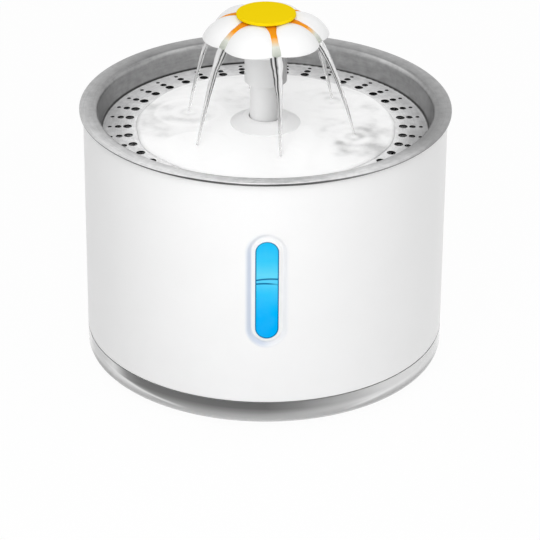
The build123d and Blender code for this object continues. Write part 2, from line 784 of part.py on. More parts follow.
def led_lens():
    outer_r = LED_POCKET_R - FIXED_FIT
    low = LED_BOARD_T
    high = LED_POCKET_H + LENS_RISE
    cap = turned(
        (outer_r - LENS_WALL, low, 0),
        (outer_r, low, 0),
        (outer_r, high, LENS_RISE),
        (0, high, 0),
        (0, high - LENS_WALL, 0),
        (outer_r - LENS_WALL, high - LENS_WALL, LENS_RISE - LENS_WALL),
    )
    return Pos(shaft_x, pocket_y, pocket_z) * cap


# ---- Write every piece ----


def pieces():
    """Each node's name with its solid."""
    found = {
        "water_tank": water_tank(),
        "outer_shell": outer_shell(),
        "level_window": level_window(),
        "cable_grommet": cable_grommet(),
        "filter_basket": filter_basket(),
        "filter_frame": filter_frame(),
        "steel_tray": steel_tray(),
        "tray_collar": tray_collar(),
        "flower_petals": flower_petals(),
        "flower_stem": flower_stem(),
        "flower_cap": flower_cap(),
        "pump_housing": pump_housing(),
        "stator_core": stator_core(),
        "coil_bobbin": coil_bobbin(),
        "coil_winding": coil_winding(),
        "potting_resin": potting_resin(),
        "pump_gland": pump_gland(),
        "volute_cover": volute_cover(),
        "shaft_bush_front": shaft_bush_front(),
        "shaft_bush_rear": shaft_bush_rear(),
        "rotor_shaft": rotor_shaft(),
        "rotor_magnet": rotor_magnet(),
        "impeller": impeller(),
        "spout_pipe": spout_pipe(),
        "intake_cover": intake_cover(),
        "flow_dial": flow_dial(),
        "led_board": led_board(),
        "led_lens": led_lens(),
    }
    for index in range(FOOT_COUNT):
        found[f"foot_pad_{index + 1}"] = foot_pad(index)
    for index in range(PACK_COUNT):
        found[f"filter_pack_{index + 1}"] = filter_pack(index)
    for index in range(LED_COUNT):
        found[f"led_{index + 1}"] = led(index)
    for index, place in enumerate(cup_places()):
        found[f"suction_cup_{index + 1}"] = suction_cup(place)
    return found


os.makedirs("parts", exist_ok=True)
for name, solid in pieces().items():
    export_step(solid, f"parts/{name}.step")
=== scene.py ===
import json
from math import asin, copysign, cos, exp, hypot, pi, radians, sin, sqrt, tau

import bpy
from mathutils import Matrix, Vector, noise

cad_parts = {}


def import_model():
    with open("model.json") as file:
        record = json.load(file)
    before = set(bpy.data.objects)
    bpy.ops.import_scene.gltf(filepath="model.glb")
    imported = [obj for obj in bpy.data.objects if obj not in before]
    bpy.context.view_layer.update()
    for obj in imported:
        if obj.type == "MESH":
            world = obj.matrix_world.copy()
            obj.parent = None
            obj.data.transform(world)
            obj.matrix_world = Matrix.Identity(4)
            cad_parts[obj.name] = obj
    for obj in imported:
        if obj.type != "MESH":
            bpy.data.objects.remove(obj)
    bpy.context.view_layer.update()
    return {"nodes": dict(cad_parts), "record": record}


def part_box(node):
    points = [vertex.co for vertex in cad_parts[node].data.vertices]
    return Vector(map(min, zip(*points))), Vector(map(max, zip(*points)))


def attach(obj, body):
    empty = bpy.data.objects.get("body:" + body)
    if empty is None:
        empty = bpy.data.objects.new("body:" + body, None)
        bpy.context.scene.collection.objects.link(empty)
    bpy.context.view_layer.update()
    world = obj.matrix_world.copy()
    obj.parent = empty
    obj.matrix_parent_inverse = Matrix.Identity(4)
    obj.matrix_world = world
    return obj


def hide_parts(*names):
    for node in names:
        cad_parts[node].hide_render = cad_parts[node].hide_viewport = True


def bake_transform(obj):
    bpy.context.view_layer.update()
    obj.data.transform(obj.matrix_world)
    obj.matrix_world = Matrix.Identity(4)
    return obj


# Pet water fountain: finishes for the CAD nodes, the running water, the fleece of the filter,
# camera, sky, lamps and floor. Metres, in the frame of the CAD model; MM turns millimetres into
# metres. The front is towards -y, and +x is on the viewer's right.

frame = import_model()
nodes = frame["nodes"]

MM = 0.001

# ---- Places read from the frame ----
window_low, window_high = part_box("level_window")
stem_low, stem_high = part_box("flower_stem")
tray_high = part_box("steel_tray")[1]

rim_r = tray_high.x
rim_z = tray_high.z
collar_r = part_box("tray_collar")[1].x
petals_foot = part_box("flower_petals")[0].z
ring_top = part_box("outer_shell")[0].z
pack_outer_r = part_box("filter_pack_1")[1].x
window_x = (window_low.x + window_high.x) / 2
window_z = (window_low.z + window_high.z) / 2
window_half_w = (window_high.x - window_low.x) / 2
window_half_h = (window_high.z - window_low.z) / 2

# ---- Sizes of the tray and the flower that the water and the finishes follow ----
DISH_DEPTH = 12.9 * MM
DISH_RISE = 1.9 * MM
FLANGE_W = 9.3 * MM
DISH_DRAFT = 1.6 * MM
HOLE_R = 14.0 * MM
HUB_SKIRT = 8.0 * MM
LIP_H = 7.1 * MM
LOBE_R = 18.0 * MM
LOBE_OFFSET = 16.0 * MM
HALF_PETAL = pi / 6
PIPE_R = 8.0 * MM

wall_top_r = rim_r - FLANGE_W
wall_foot_r = wall_top_r - DISH_DRAFT
dish_z = rim_z - DISH_DEPTH
lip_z = petals_foot + HUB_SKIRT
lobe_z = lip_z - LIP_H

# ---- Marks on the finishes ----
NOISE_SPAN = (0.3, 0.7)  # where most of a noise lies
RECESS_SHADE_IN = (1.5 * MM, 2.6 * MM)  # distances from the window's slot between which its painted shade in the recess starts
RECESS_SHADE_OUT = (5.6 * MM, 3.2 * MM)  # and between which it ends
RECESS_SHADE_SIDE = (5.0 * MM, -4.0 * MM)  # it gets stronger between these places, towards the left
RECESS_SHADE_SIDE_WEIGHT = (0.22, 0.95)
RECESS_SHADE_TOP = (4.0, -8.0)  # and between these, downwards, in mm from the window's top
RECESS_SHADE_TOP_WEIGHT = (0.3, 1.0)
WATER_LINES = ((84.3 * MM, 0.06, 0.0), (81.8 * MM, -0.03, 0.65))  # height, tilt, fade to the right
LINE_BEND = -16.0  # per metre
LINE_EDGE = (0.62 * MM, 0.22 * MM)  # a line ends between these distances from its middle
BANDS_FOOT = 2.0 * MM  # the painted shade bands of the base ring start at this height
BACK_SIDE = (0.19, 0.23)  # nearly white beyond here, in turns from the front
WEDGE_Z = (10.5 * MM, 7.0 * MM)  # the ring's painted dark front gets narrower between these heights
# painted glint on the base ring, along a line that rises from the front to both sides
GLINT_LINE_Z = 8.2 * MM
GLINT_LINE_SIDE = 0.111  # in turns from the front, where the painted glint's line lies at that height
GLINT_LINE_RISE = 43.0 * MM  # per turn
GLINT_LINE_WAVER = 2.0 * MM
GLINT_LINE_EDGE = (1.0 * MM, 0.1 * MM)  # the painted glint ends between these distances from its line
GLINT = 0.75
GLINT_START = (0.06, 0.10)  # in turns from the front
GLINT_END = (0.19, 0.15)
TUBE_ROOM = 0.3 * MM  # past the pipe and the stem
HEM_H = 0.55 * MM  # the painted shade under the fold starts this far below the rim
HEM_FRONT = 0.45 * MM  # and this much higher in front
HEM_EDGE = 0.25 * MM

# ---- Water ----
STREAMS = 6
STREAM_TURN = radians(-80)  # direction of the stream nearest the viewer
RUN_START = 9.5 * MM
RUN_END = 28.9 * MM
RUN_W = 5.6 * MM
RUN_WAIST = 3.3 * MM
RUN_CROWN = 0.5 * MM
RUN_SUNK = 0.25 * MM
RUN_COLOUR_R = 13.0 * MM  # where the painted orange reflection of the cap starts to change colour
FALL_SLOPE = 1.15
FALL_CURVE = 62.5  # per metre
FALL_START = RUN_END - 1.2 * MM
FALL_TOP_R = RUN_END - 0.9 * MM  # the falls start at the dome's height here
FALL_LIFT = 0.1 * MM
FALL_RUN = 20.0 * MM
FALL_SHARES = (0.75, 1.0, 0.9, 0.8, 0.70, 0.86)  # how far each stream carries
FALL_W_TOP = 6.6 * MM
FALL_W_END = 1.3 * MM
FALL_T_TOP = 3.0 * MM
FALL_T_END = 1.4 * MM
FALL_DRIFT = 0.35 * MM
POOL_R = 66.5 * MM
POOL_WAVER = 1.2 * MM
POOL_DEPTH = 1.1 * MM
POOL_EDGE = 5.0 * MM
POOL_OVERLAP = 0.2 * MM  # with the collar
POOL_LIFT = 0.05 * MM  # of the thinnest water off the floor
POOL_UNDER = 0.04 * MM
BEAD_INSET = 1.6 * MM
BEAD_W = 0.9 * MM
BEAD_H = 0.30 * MM
RIPPLE = 3.6 * MM  # from a crest to the trough beside it
RIPPLE_H = 0.28  # of the depth
RIPPLE_REACH = 9.0 * MM
OUTER_RING_R = 17.0 * MM
OUTER_RING_W = 1.6 * MM

# ---- Froth and painted shade: how white the pool is ----
FOAM = 0.58
FOAM_INSIDE = 0.6  # on the wall beside the collar
FOAM_ON_CREST = 0.45
FOAM_IN_FRONT = 0.45
# painted shade that greys the pool at its right and its left
PAINTED_SHADE_RIGHT = -0.16
PAINTED_SHADE_LEFT = -0.26
HOLLOWS = (  # grey hollows on the right: depth, width in mm, place in mm
    (0.17, 8.5, 42.0, -23.5),
    (0.36, 11.0, 55.0, -28.0),
    (0.14, 8.0, 41.0, -43.0),
    (0.22, 9.0, 57.0, -10.0),
)

# ---- Filter fleece ----
PACKS = 4
PACK_INNER_R = 20.7 * MM
PACK_EDGE_START = -1.0 * MM  # the swelling starts this far outside the weld
PACK_EDGE = 3.0 * MM  # and is full this far inside it
PACK_WELD = 0.8 * MM
PACK_GAP = 0.95 * MM  # half the bar between two packs
PACK_FULL = 0.90  # of the pack's height
PACK_CREASE = 0.10

# ---- Camera, sky, lamps and floor ----
FRAME_PX = 540
FOCAL_PX = 2805.3
SENSOR = 36.0
CENTRE_PX = 264.5  # where the object's axis lies across the frame
ROLL = 0.0063
CAMERA_FAR = 1311.5 * MM
CAMERA_HIGH = 716.4 * MM
CAMERA_TURN = radians(0.8)
CAMERA_AIM = (0, 0, 41.8 * MM)
AMBIENT = (("Z", 0.2, 0.9, 0.48, 0.78), ("X", 0.1, 0.9, 0.0, 0.14))  # axis, from, to, dark, bright
LAMP_AIM = (0, 0, 90 * MM)
FLOOR_HALF = 3.0
FLOOR_GLOW = 0.96


def srgb(red, green, blue):
    """Linear colour of an 8-bit screen colour."""
    def linear(value):
        value /= 255
        return value / 12.92 if value <= 0.04045 else ((value + 0.055) / 1.055) ** 2.4
    return (linear(red), linear(green), linear(blue), 1.0)


def grey(value):
    return srgb(value, value, value)


def level(value):
    """Grey of a linear value."""
    return (value, value, value, 1.0)


# ---- Node graphs ----


class Nodes:
    """Short calls for the nodes of a tree. Numbers are constants, sockets are links."""

    def __init__(self, tree):
        self.tree = tree

    def feed(self, socket, value):
        if isinstance(value, bpy.types.NodeSocket):
            self.tree.links.new(value, socket)
        else:
            socket.default_value = value

    def node(self, kind, *values, **settings):
        """A new node: values for its inputs in order, settings for its properties or inputs by name."""
        made = self.tree.nodes.new("ShaderNode" + kind)
        for key, value in settings.items():
            if hasattr(made, key):
                setattr(made, key, value)
            else:
                self.feed(made.inputs[key.replace("_", " ")], value)
        for socket, value in zip(made.inputs, values):
            self.feed(socket, value)
        return made

    def math(self, operation, *values):
        return self.node("Math", *values, operation=operation).outputs[0]

    def plus(self, first, second):
        return self.math("ADD", first, second)

    def minus(self, first, second):
        return self.math("SUBTRACT", first, second)

    def times(self, first, *others):
        for other in others:
            first = self.math("MULTIPLY", first, other)
        return first

    def apart(self, first, second):
        """Distance between two values."""
        return self.math("ABSOLUTE", self.minus(first, second))

    def scaled(self, value, low, high, to_low=0.0, to_high=1.0):
        """The range from low to high moved to another one. Constant outside."""
        return self.node("MapRange", value, low, high, to_low, to_high).outputs[0]

    def between(self, value, none, full):
        """0 at none, 1 at full, smooth in between, constant outside. Full may be the lower one."""
        made = self.node("MapRange", value, none, full, 0.0, 1.0, interpolation_type="SMOOTHSTEP")
        return made.outputs[0]

    def near(self, value, place, none, full):
        """Like between, with none and full in mm from a place."""
        return self.between(value, place + none * MM, place + full * MM)

    def seen_directly(self):
        """1 for rays that come from the camera, a reflection or a refraction."""
        path = self.node("LightPath").outputs
        seen = self.math("MAXIMUM", path["Is Camera Ray"], path["Is Glossy Ray"])
        return self.math("MAXIMUM", seen, path["Is Transmission Ray"])


class Graph(Nodes):
    """A material, with places in the frame of the CAD model."""

    def __init__(self, name):
        self.material = bpy.data.materials.new(name)
        self.material.use_nodes = True
        super().__init__(self.material.node_tree)
        self.shader = self.tree.nodes["Principled BSDF"]
        self.place = self.node("TexCoord").outputs["Object"]

    def axes(self):
        return self.node("SeparateXYZ", self.place).outputs

    def vertex(self, name):
        """A value kept on the mesh's points."""
        return self.node("Attribute", attribute_name=name).outputs["Fac"]

    def radius(self):
        """Distance from the object's upright axis."""
        x, y, _ = self.axes()
        return self.math("SQRT", self.plus(self.times(x, x), self.times(y, y)))

    def turn(self):
        """Direction round the axis: 0.5 at the front, 0.75 at the right, 0 and 1 at the back."""
        x, y, _ = self.axes()
        return self.scaled(self.math("ARCTAN2", x, self.times(y, -1.0)), -pi, pi)

    def window_distance(self):
        """Distance from the middle line of the window's rounded slot, across the front."""
        x, _, z = self.axes()
        over = self.minus(self.apart(z, window_z), window_half_h - window_half_w)
        over = self.math("MAXIMUM", over, 0.0)
        offset = self.node("CombineXYZ", self.minus(x, window_x), over).outputs[0]
        return self.node("VectorMath", offset, operation="LENGTH").outputs["Value"]

    def noise(self, scale, detail=3.0, rough=0.5, vector=None):
        made = self.node("TexNoise", Scale=scale, Detail=detail, Roughness=rough)
        self.feed(made.inputs["Vector"], vector or self.place)
        return made.outputs["Fac"]

    def waver(self, size, *pattern):
        """Noise of a size, half of it below zero."""
        return self.times(self.minus(self.noise(*pattern), 0.5), size)

    def stretched(self, x, y, z):
        """Object coordinates scaled along each axis."""
        return self.node("Mapping", self.place, Scale=(x, y, z)).outputs[0]

    def ramp(self, factor, *stops):
        made = self.node("ValToRGB", factor)
        points = made.color_ramp.elements
        while len(points) < len(stops):
            points.new(0.5)
        for point, (position, colour) in zip(points, stops):
            point.position = position
            point.color = colour
        return made.outputs["Color"]

    def mix(self, factor, first, second, blend="MIX"):
        made = self.node("Mix", data_type="RGBA", blend_type=blend)
        self.feed(made.inputs["Factor"], factor)
        self.feed(made.inputs[6], first)
        self.feed(made.inputs[7], second)
        return made.outputs[2]

    def bump(self, height, distance):
        made = self.node("Bump", Height=height, Distance=distance, Strength=1.0)
        self.feed(self.shader.inputs["Normal"], made.outputs[0])

    def polish(self, scale, low, high, detail=3.0):
        """Uneven roughness."""
        self.set(Roughness=self.scaled(self.noise(scale, detail), *NOISE_SPAN, low, high))

    def set(self, **inputs):
        for key, value in inputs.items():
            self.feed(self.shader.inputs[key.replace("_", " ")], value)

    def colour(self):
        """The base colour set so far."""
        return self.shader.inputs["Base Color"].links[0].from_socket


# ---- Materials ----


def moulded(name, colour, roughness, shade=0.03, grain=2400.0, relief=0.0015 * MM, gloss=0.3):
    """Moulded plastic: faint cloudiness, uneven polish and a fine orange peel."""
    graph = Graph(name)
    dull = tuple(channel * (1 - shade) for channel in colour[:3]) + (1.0,)
    graph.set(Base_Color=graph.ramp(graph.noise(45.0), (0.35, dull), (0.65, colour)))
    graph.set(Specular_IOR_Level=gloss)
    graph.polish(90.0, roughness * 0.92, roughness * 1.08, 2.0)
    graph.bump(graph.noise(grain, 2.0), relief)
    return graph


def white_shell():
    """White plastic with a painted bluish shade in the recess round the window."""
    graph = moulded("white_shell", grey(248), 0.32, 0.01, gloss=0.22)
    x, y, z = graph.axes()
    out = graph.minus(graph.window_distance(), window_half_w)
    # painted shade in the recess: bluish, stronger at its left and lower down, in front only
    recess_shade = graph.times(graph.between(out, *RECESS_SHADE_IN), graph.between(out, *RECESS_SHADE_OUT))
    side = graph.scaled(graph.between(x, *RECESS_SHADE_SIDE), 0.0, 1.0, *RECESS_SHADE_SIDE_WEIGHT)
    top = graph.scaled(graph.near(z, window_high.z, *RECESS_SHADE_TOP), 0.0, 1.0, *RECESS_SHADE_TOP_WEIGHT)
    front = graph.math("LESS_THAN", y, 0.0)
    shade = graph.times(recess_shade, graph.times(side, top, front))
    graph.set(Base_Color=graph.mix(shade, graph.colour(), srgb(207, 216, 231)))
    return graph.material


def petal_white():
    return moulded("petal_white", grey(253), 0.25, 0.004, gloss=0.15).material


def yellow():
    return moulded("yellow", srgb(255, 222, 18), 0.5, 0.01, gloss=0.0).material


def ring_painted_glint(graph, z, side, streak):
    """Painted glint: a bright line that rises towards both sides of the base ring."""
    # the line of the painted glint
    glint_line = graph.math("MULTIPLY_ADD", graph.minus(side, GLINT_LINE_SIDE), GLINT_LINE_RISE, GLINT_LINE_Z)
    off = graph.apart(z, graph.math("MULTIPLY_ADD", streak, GLINT_LINE_WAVER, glint_line))
    reach = graph.times(graph.between(side, *GLINT_START), graph.between(side, *GLINT_END))
    return graph.times(graph.between(off, *GLINT_LINE_EDGE), graph.times(reach, GLINT))


def ring_painted_shade(graph, z, streak):
    """Painted shade and reflection on the base ring: dark in front, pale at the sides, nearly white at
    the back.
    """
    height = graph.plus(graph.scaled(z, BANDS_FOOT, ring_top), graph.times(streak, 0.10))
    # painted shade by height: dark under the sleeve, paler towards the foot, with a pale line near it
    painted_shade_by_height = graph.ramp(
        height,
        (0.00, grey(205)),
        (0.14, grey(220)),
        (0.30, grey(188)),
        (0.45, grey(164)),
        (0.56, grey(134)),
        (0.70, grey(100)),
        (1.00, grey(92)),
    )
    pale = graph.ramp(
        height,
        (0.00, grey(182)),
        (0.13, grey(222)),
        (0.25, grey(190)),
        (0.36, grey(200)),
        (0.52, grey(244)),
        (0.70, grey(242)),
        (1.00, grey(240)),
    )
    turn = graph.plus(graph.turn(), graph.times(streak, 0.03))
    narrower = graph.scaled(z, *WEDGE_Z, 1.0, 1.4)
    # painted dark front of the ring, narrower lower down
    dark = graph.ramp(
        graph.math("MULTIPLY_ADD", graph.minus(turn, 0.5), narrower, 0.5),
        (0.345, level(0.0)),
        (0.362, level(0.80)),
        (0.380, level(0.97)),
        (0.50, level(1.0)),
        (0.528, level(0.87)),
        (0.583, level(0.46)),
        (0.615, level(0.1)),
        (0.64, level(0.0)),
    )
    # painted darker patch on the left
    ends = graph.ramp(
        turn,
        (0.285, level(1.0)),
        (0.305, level(0.80)),
        (0.33, level(0.84)),
        (0.345, level(1.0)),
    )
    side = graph.apart(graph.turn(), 0.5)
    sides = graph.mix(graph.between(side, *BACK_SIDE), pale, grey(252))
    bands = graph.mix(1.0, graph.mix(dark, sides, painted_shade_by_height), ends, "MULTIPLY")
    # painted glint laid over the painted shade
    return graph.mix(ring_painted_glint(graph, z, side, streak), bands, grey(252))


def clear_plastic():
    """Clear plastic. The thick base ring is mostly opaque, with painted shade and reflection: dark
    under the sleeve, paler at its foot.
    """
    graph = Graph("clear_plastic")
    _, _, z = graph.axes()
    ring = graph.near(z, ring_top, 0.0, -0.3)
    streak = graph.minus(graph.noise(1.0, 2.0, 0.5, graph.stretched(16.0, 16.0, 260.0)), 0.5)
    tint = graph.ramp(graph.noise(30.0), (0.3, (0.90, 0.93, 0.92, 1)), (0.7, (0.96, 0.97, 0.97, 1)))
    # the ring takes the painted shade, and its transmission is mostly turned off
    graph.set(Base_Color=graph.mix(ring, tint, ring_painted_shade(graph, z, streak)))
    graph.set(Transmission_Weight=graph.minus(1.0, graph.times(ring, 0.9)), IOR=1.5)
    graph.polish(120.0, 0.05, 0.09)
    graph.bump(graph.noise(60.0, 2.0), 0.01 * MM)
    return graph.material


def window_blue():
    """Lit blue lens: deep blue low down, paler round the water line, with a darker edge."""
    graph = Graph("window_blue")
    x, _, z = graph.axes()
    colour = graph.ramp(
        graph.scaled(z, window_low.z, window_high.z),
        (0.0, srgb(0, 170, 244)),
        (0.26, srgb(0, 176, 244)),
        (0.46, srgb(46, 192, 244)),
        (0.58, srgb(84, 206, 244)),
        (0.66, srgb(92, 210, 242)),
        (0.80, srgb(50, 195, 240)),
        (1.0, srgb(20, 184, 240)),
    )
    across = graph.minus(x, window_x)
    for height, tilt, fade in WATER_LINES:
        bend = graph.plus(graph.times(across, tilt), graph.times(across, across, LINE_BEND))
        off = graph.apart(graph.minus(z, height), bend)
        faded = graph.times(graph.between(across, 0.0, window_half_w), fade)
        stroke = graph.times(graph.between(off, *LINE_EDGE), graph.minus(1.0, faded))
        colour = graph.mix(stroke, colour, srgb(0, 104, 158))
    edge = graph.near(graph.window_distance(), window_half_w, -0.75, -0.25)
    colour = graph.mix(edge, colour, srgb(0, 116, 166))
    cloud = graph.times(graph.between(graph.noise(90.0), 0.35, 0.75), 0.02)
    colour = graph.mix(cloud, colour, grey(255))
    graph.set(Base_Color=colour, Emission_Color=colour, Emission_Strength=0.06)
    graph.set(Specular_IOR_Level=0.0)
    graph.polish(200.0, 0.12, 0.2)
    graph.bump(graph.noise(700.0), 0.002 * MM)
    return graph.material


def round_axis(graph, sweep, *stops):
    """Painted reflection: steel grey that changes with the direction."""
    return graph.ramp(sweep, *((at, (tone, tone, tone * 1.005, 1)) for at, tone in stops))


def steel_flange(graph, radius, turn, sweep):
    """Colour of the flange: painted reflection that is paler towards the rim, with a painted gleam
    along its inner bend.
    """
    tone = round_axis(
        graph, sweep,
        (0.00, 0.42), (0.12, 0.31), (0.25, 0.46), (0.42, 0.76),
        (0.57, 0.76), (0.67, 0.29), (0.80, 0.36), (1.00, 0.42),
    )
    outward = graph.scaled(radius, wall_top_r + 2.0 * MM, rim_r - 1.5 * MM, 0.76, 1.06)
    outward = graph.node("CombineColor", outward, outward, outward).outputs[0]
    tone = graph.mix(1.0, tone, outward, "MULTIPLY")
    start = graph.near(radius, wall_top_r, -0.5, 0.2)
    end = graph.near(radius, wall_top_r, 1.6, 0.7)
    # painted gleam on the inner bend, at the back-left and the back-right
    painted_gleam = graph.ramp(
        turn,
        (0.03, grey(0)), (0.09, grey(235)), (0.14, grey(60)),
        (0.80, grey(0)), (0.86, grey(255)), (0.92, grey(90)),
    )
    return graph.mix(graph.times(start, end, painted_gleam), tone, level(0.68))


def steel_wall(graph, radius, z, sweep, colour):
    """The colour with the darker wall of the dish added: painted shade and reflection."""
    above = graph.near(z, dish_z, 0.5, 1.6)
    inside = graph.near(radius, wall_top_r, 1.6, -1.0)
    outside = graph.near(radius, wall_foot_r, -1.2, -0.2)
    tone = round_axis(
        graph, sweep,
        (0.00, 0.40), (0.17, 0.34), (0.22, 0.22), (0.26, 0.09),
        (0.74, 0.09), (0.79, 0.34), (1.00, 0.40),
    )
    return graph.mix(graph.times(above, graph.times(inside, outside)), colour, tone)


def steel_floor(graph, radius, sweep):
    """Colour of the floor: paler under the water, with painted reflection by direction and painted
    shade in the bores.
    """
    tone = round_axis(
        graph, sweep,
        (0.00, 0.95), (0.13, 0.90), (0.24, 0.52), (0.36, 0.85),
        (0.62, 0.80), (0.72, 0.42), (0.84, 0.86), (1.00, 0.95),
    )
    wet = graph.near(radius, POOL_R, 11.0, -2.0)
    tone = graph.mix(graph.times(wet, 0.85), tone, level(0.95))
    facing = graph.node("SeparateXYZ", graph.node("NewGeometry").outputs["Normal"]).outputs[2]
    # painted shade on the walls of the bores
    bore_shade = graph.between(graph.math("ABSOLUTE", facing), 0.7, 0.3)
    return graph.mix(bore_shade, tone, level(0.02))


def steel_folds(graph, radius, turn, z, sweep, colour):
    """The colour with painted shade added: in the corner round the floor and under the fold below the
    rim.
    """
    low = graph.near(z, dish_z, 1.2, 0.4)
    # painted shade in the corner where the wall meets the floor
    seam_shade = graph.times(low, graph.near(radius, wall_foot_r, -1.2, -0.6))
    colour = graph.mix(seam_shade, colour, level(0.03))
    front = graph.between(graph.apart(turn, 0.5), 0.12, 0.04)
    hem_top = graph.plus(graph.times(front, HEM_FRONT), rim_z - HEM_H)
    under = graph.between(z, hem_top, graph.minus(hem_top, HEM_EDGE))
    # painted shade under the fold below the rim
    hem_shade = graph.times(under, graph.near(radius, rim_r, -2.5, -1.5))
    tone = round_axis(
        graph, sweep,
        (0.25, 0.30), (0.40, 0.10), (0.53, 0.10), (0.60, 0.26), (0.70, 0.22),
    )
    return graph.mix(hem_shade, colour, tone)


def steel():
    """Drawn stainless sheet: satin flange, darker wall and pale floor from painted reflection, painted
    shade under the fold below the rim.
    """
    graph = Graph("steel")
    _, _, z = graph.axes()
    radius = graph.radius()
    turn = graph.turn()
    lathe = graph.node("CombineXYZ", radius, turn, z).outputs[0]
    brushed = graph.node("Mapping", lathe, Scale=(1500.0, 50.0, 700.0)).outputs[0]
    grain = graph.times(graph.noise(1.0, 3.0, 0.6, brushed), 0.45)
    satin = graph.plus(grain, graph.times(graph.noise(260.0, 3.0, 0.6), 0.55))
    sweep = graph.plus(turn, graph.waver(0.06, 40.0, 2.0))
    floor = graph.near(radius, wall_foot_r, -0.6, -1.4)
    colour = steel_flange(graph, radius, turn, sweep)
    colour = steel_wall(graph, radius, z, sweep, colour)
    colour = graph.mix(floor, colour, steel_floor(graph, radius, sweep))
    colour = steel_folds(graph, radius, turn, z, sweep, colour)
    speckle = graph.ramp(satin, (0.36, level(0.82)), (0.64, level(1.14)))
    graph.set(Base_Color=graph.mix(1.0, colour, speckle, "MULTIPLY"))
    graph.set(Metallic=graph.minus(1.0, graph.times(floor, 0.7)))
    graph.set(Roughness=graph.scaled(satin, 0.36, 0.64, 0.30, 0.40))
    graph.bump(satin, 0.012 * MM)
    return graph.material


def white_plastic():
    """White plastic. The riser pipe and the stem over it have painted shade that gets darker towards
    their right side.
    """
    graph = moulded("white_plastic", grey(252), 0.30, 0.01)
    x, _, z = graph.axes()
    # The tube's outer radius: the pipe's below the stem's foot, the stem's above it
    outside = graph.scaled(z, stem_low.z - 1.0 * MM, stem_low.z - 0.2 * MM, PIPE_R, stem_high.x)
    limit = graph.plus(outside, TUBE_ROOM)
    tube = graph.math("LESS_THAN", graph.radius(), limit)
    # painted shade across the tube: paler on the left, darkest on the right
    shade = graph.ramp(
        graph.scaled(graph.math("DIVIDE", x, limit), -1.0, 1.0),
        (0.0, level(1.0)),
        (0.2, level(0.97)),
        (0.6, level(0.71)),
        (1.0, level(0.44)),
    )
    plain = graph.colour()
    graph.set(Base_Color=graph.mix(tube, plain, graph.mix(1.0, plain, shade, "MULTIPLY")))
    return graph.material


def rubber():
    return moulded("rubber", srgb(196, 198, 199), 0.62, 0.08, 1800.0, 0.012 * MM).material


def pump_plastic():
    return moulded("pump_plastic", srgb(230, 231, 232), 0.42, 0.05, 1100.0, 0.006 * MM, 0.4).material


def resin():
    return moulded("resin", srgb(66, 66, 70), 0.35, 0.2, 500.0, 0.03 * MM, 0.5).material


def striped(name, wave, scale, distortion, dark, pale, metallic, low, high, relief):
    """Metal in fine stripes across an axis, with dark grooves and paler crests."""
    graph = Graph(name)
    made = graph.node("TexWave", graph.place, Scale=scale, Distortion=distortion, bands_direction=wave)
    stripes = made.outputs["Fac"]
    graph.set(Base_Color=graph.ramp(stripes, dark, pale), Metallic=metallic)
    graph.polish(300.0, low, high)
    graph.bump(stripes, relief)
    return graph.material


def lamination():
    """Edges of stacked sheets."""
    dark, pale = (0.2, grey(110)), (0.6, grey(160))
    return striped("lamination", "Y", 320.0, 0.4, dark, pale, 0.8, 0.4, 0.6, 0.05 * MM)


def copper():
    """Turns of enamelled wire."""
    dark, pale = (0.1, srgb(128, 62, 30)), (0.7, srgb(214, 136, 84))
    return striped("copper", "X", 520.0, 0.2, dark, pale, 0.9, 0.25, 0.4, 0.15 * MM)


def ferrite():
    return moulded("ferrite", grey(78), 0.45, 0.15, 1500.0, 0.01 * MM, 0.5).material


def ceramic():
    return moulded("ceramic", srgb(240, 238, 232), 0.18, 0.03, 2200.0, 0.003 * MM, 0.5).material


def board():
    """Green board with paler tracks."""
    graph = Graph("board")
    made = graph.node("TexVoronoi", graph.place, Scale=900.0, feature="DISTANCE_TO_EDGE")
    cells = made.outputs["Distance"]
    graph.set(Base_Color=graph.ramp(cells, (0.03, srgb(120, 170, 110)), (0.09, srgb(30, 110, 60))))
    graph.polish(400.0, 0.3, 0.5)
    graph.bump(cells, 0.02 * MM)
    return graph.material


def led():
    graph = moulded("led", srgb(120, 190, 255), 0.25, 0.1)
    graph.set(Emission_Color=srgb(60, 170, 255), Emission_Strength=1.5)
    return graph.material


def fleece():
    """White needled fleece with grey carbon dust that shows through."""
    graph = Graph("fleece")
    fibres = graph.noise(1100.0, 6.0, 0.7, graph.stretched(1.0, 0.35, 1.0))
    dust = graph.between(graph.noise(150.0, 4.0, 0.6), 0.52, 0.70)
    pale = graph.ramp(fibres, (0.3, grey(214)), (0.7, grey(244)))
    graph.set(Base_Color=graph.mix(graph.times(dust, 0.25), pale, grey(150)))
    graph.set(Roughness=graph.scaled(fibres, *NOISE_SPAN, 0.8, 0.95), Sheen_Weight=0.4)
    graph.bump(fibres, 0.35 * MM)
    return graph.material


def pool_water():
    """Aerated water: white foam with thin grey clouds, and a painted glow."""
    graph = Graph("pool_water")
    clouds = graph.waver(1.1, 60.0, 5.0, 0.6)
    colour = graph.ramp(
        graph.math("MULTIPLY_ADD", graph.plus(graph.vertex("foam"), clouds), 0.8, 0.2),
        (0.00, grey(170)),
        (0.20, grey(198)),
        (0.33, grey(223)),
        (0.48, grey(240)),
        (0.68, grey(248)),
        (0.88, grey(249)),
    )
    # painted glow: the water gives off a little light of its own colour
    graph.set(Base_Color=colour, IOR=1.33, Emission_Color=colour, Emission_Strength=0.17)
    graph.set(Roughness=graph.scaled(clouds, -0.1, 0.1, 0.10, 0.22))
    graph.bump(graph.noise(150.0), 0.12 * MM)
    return graph.material


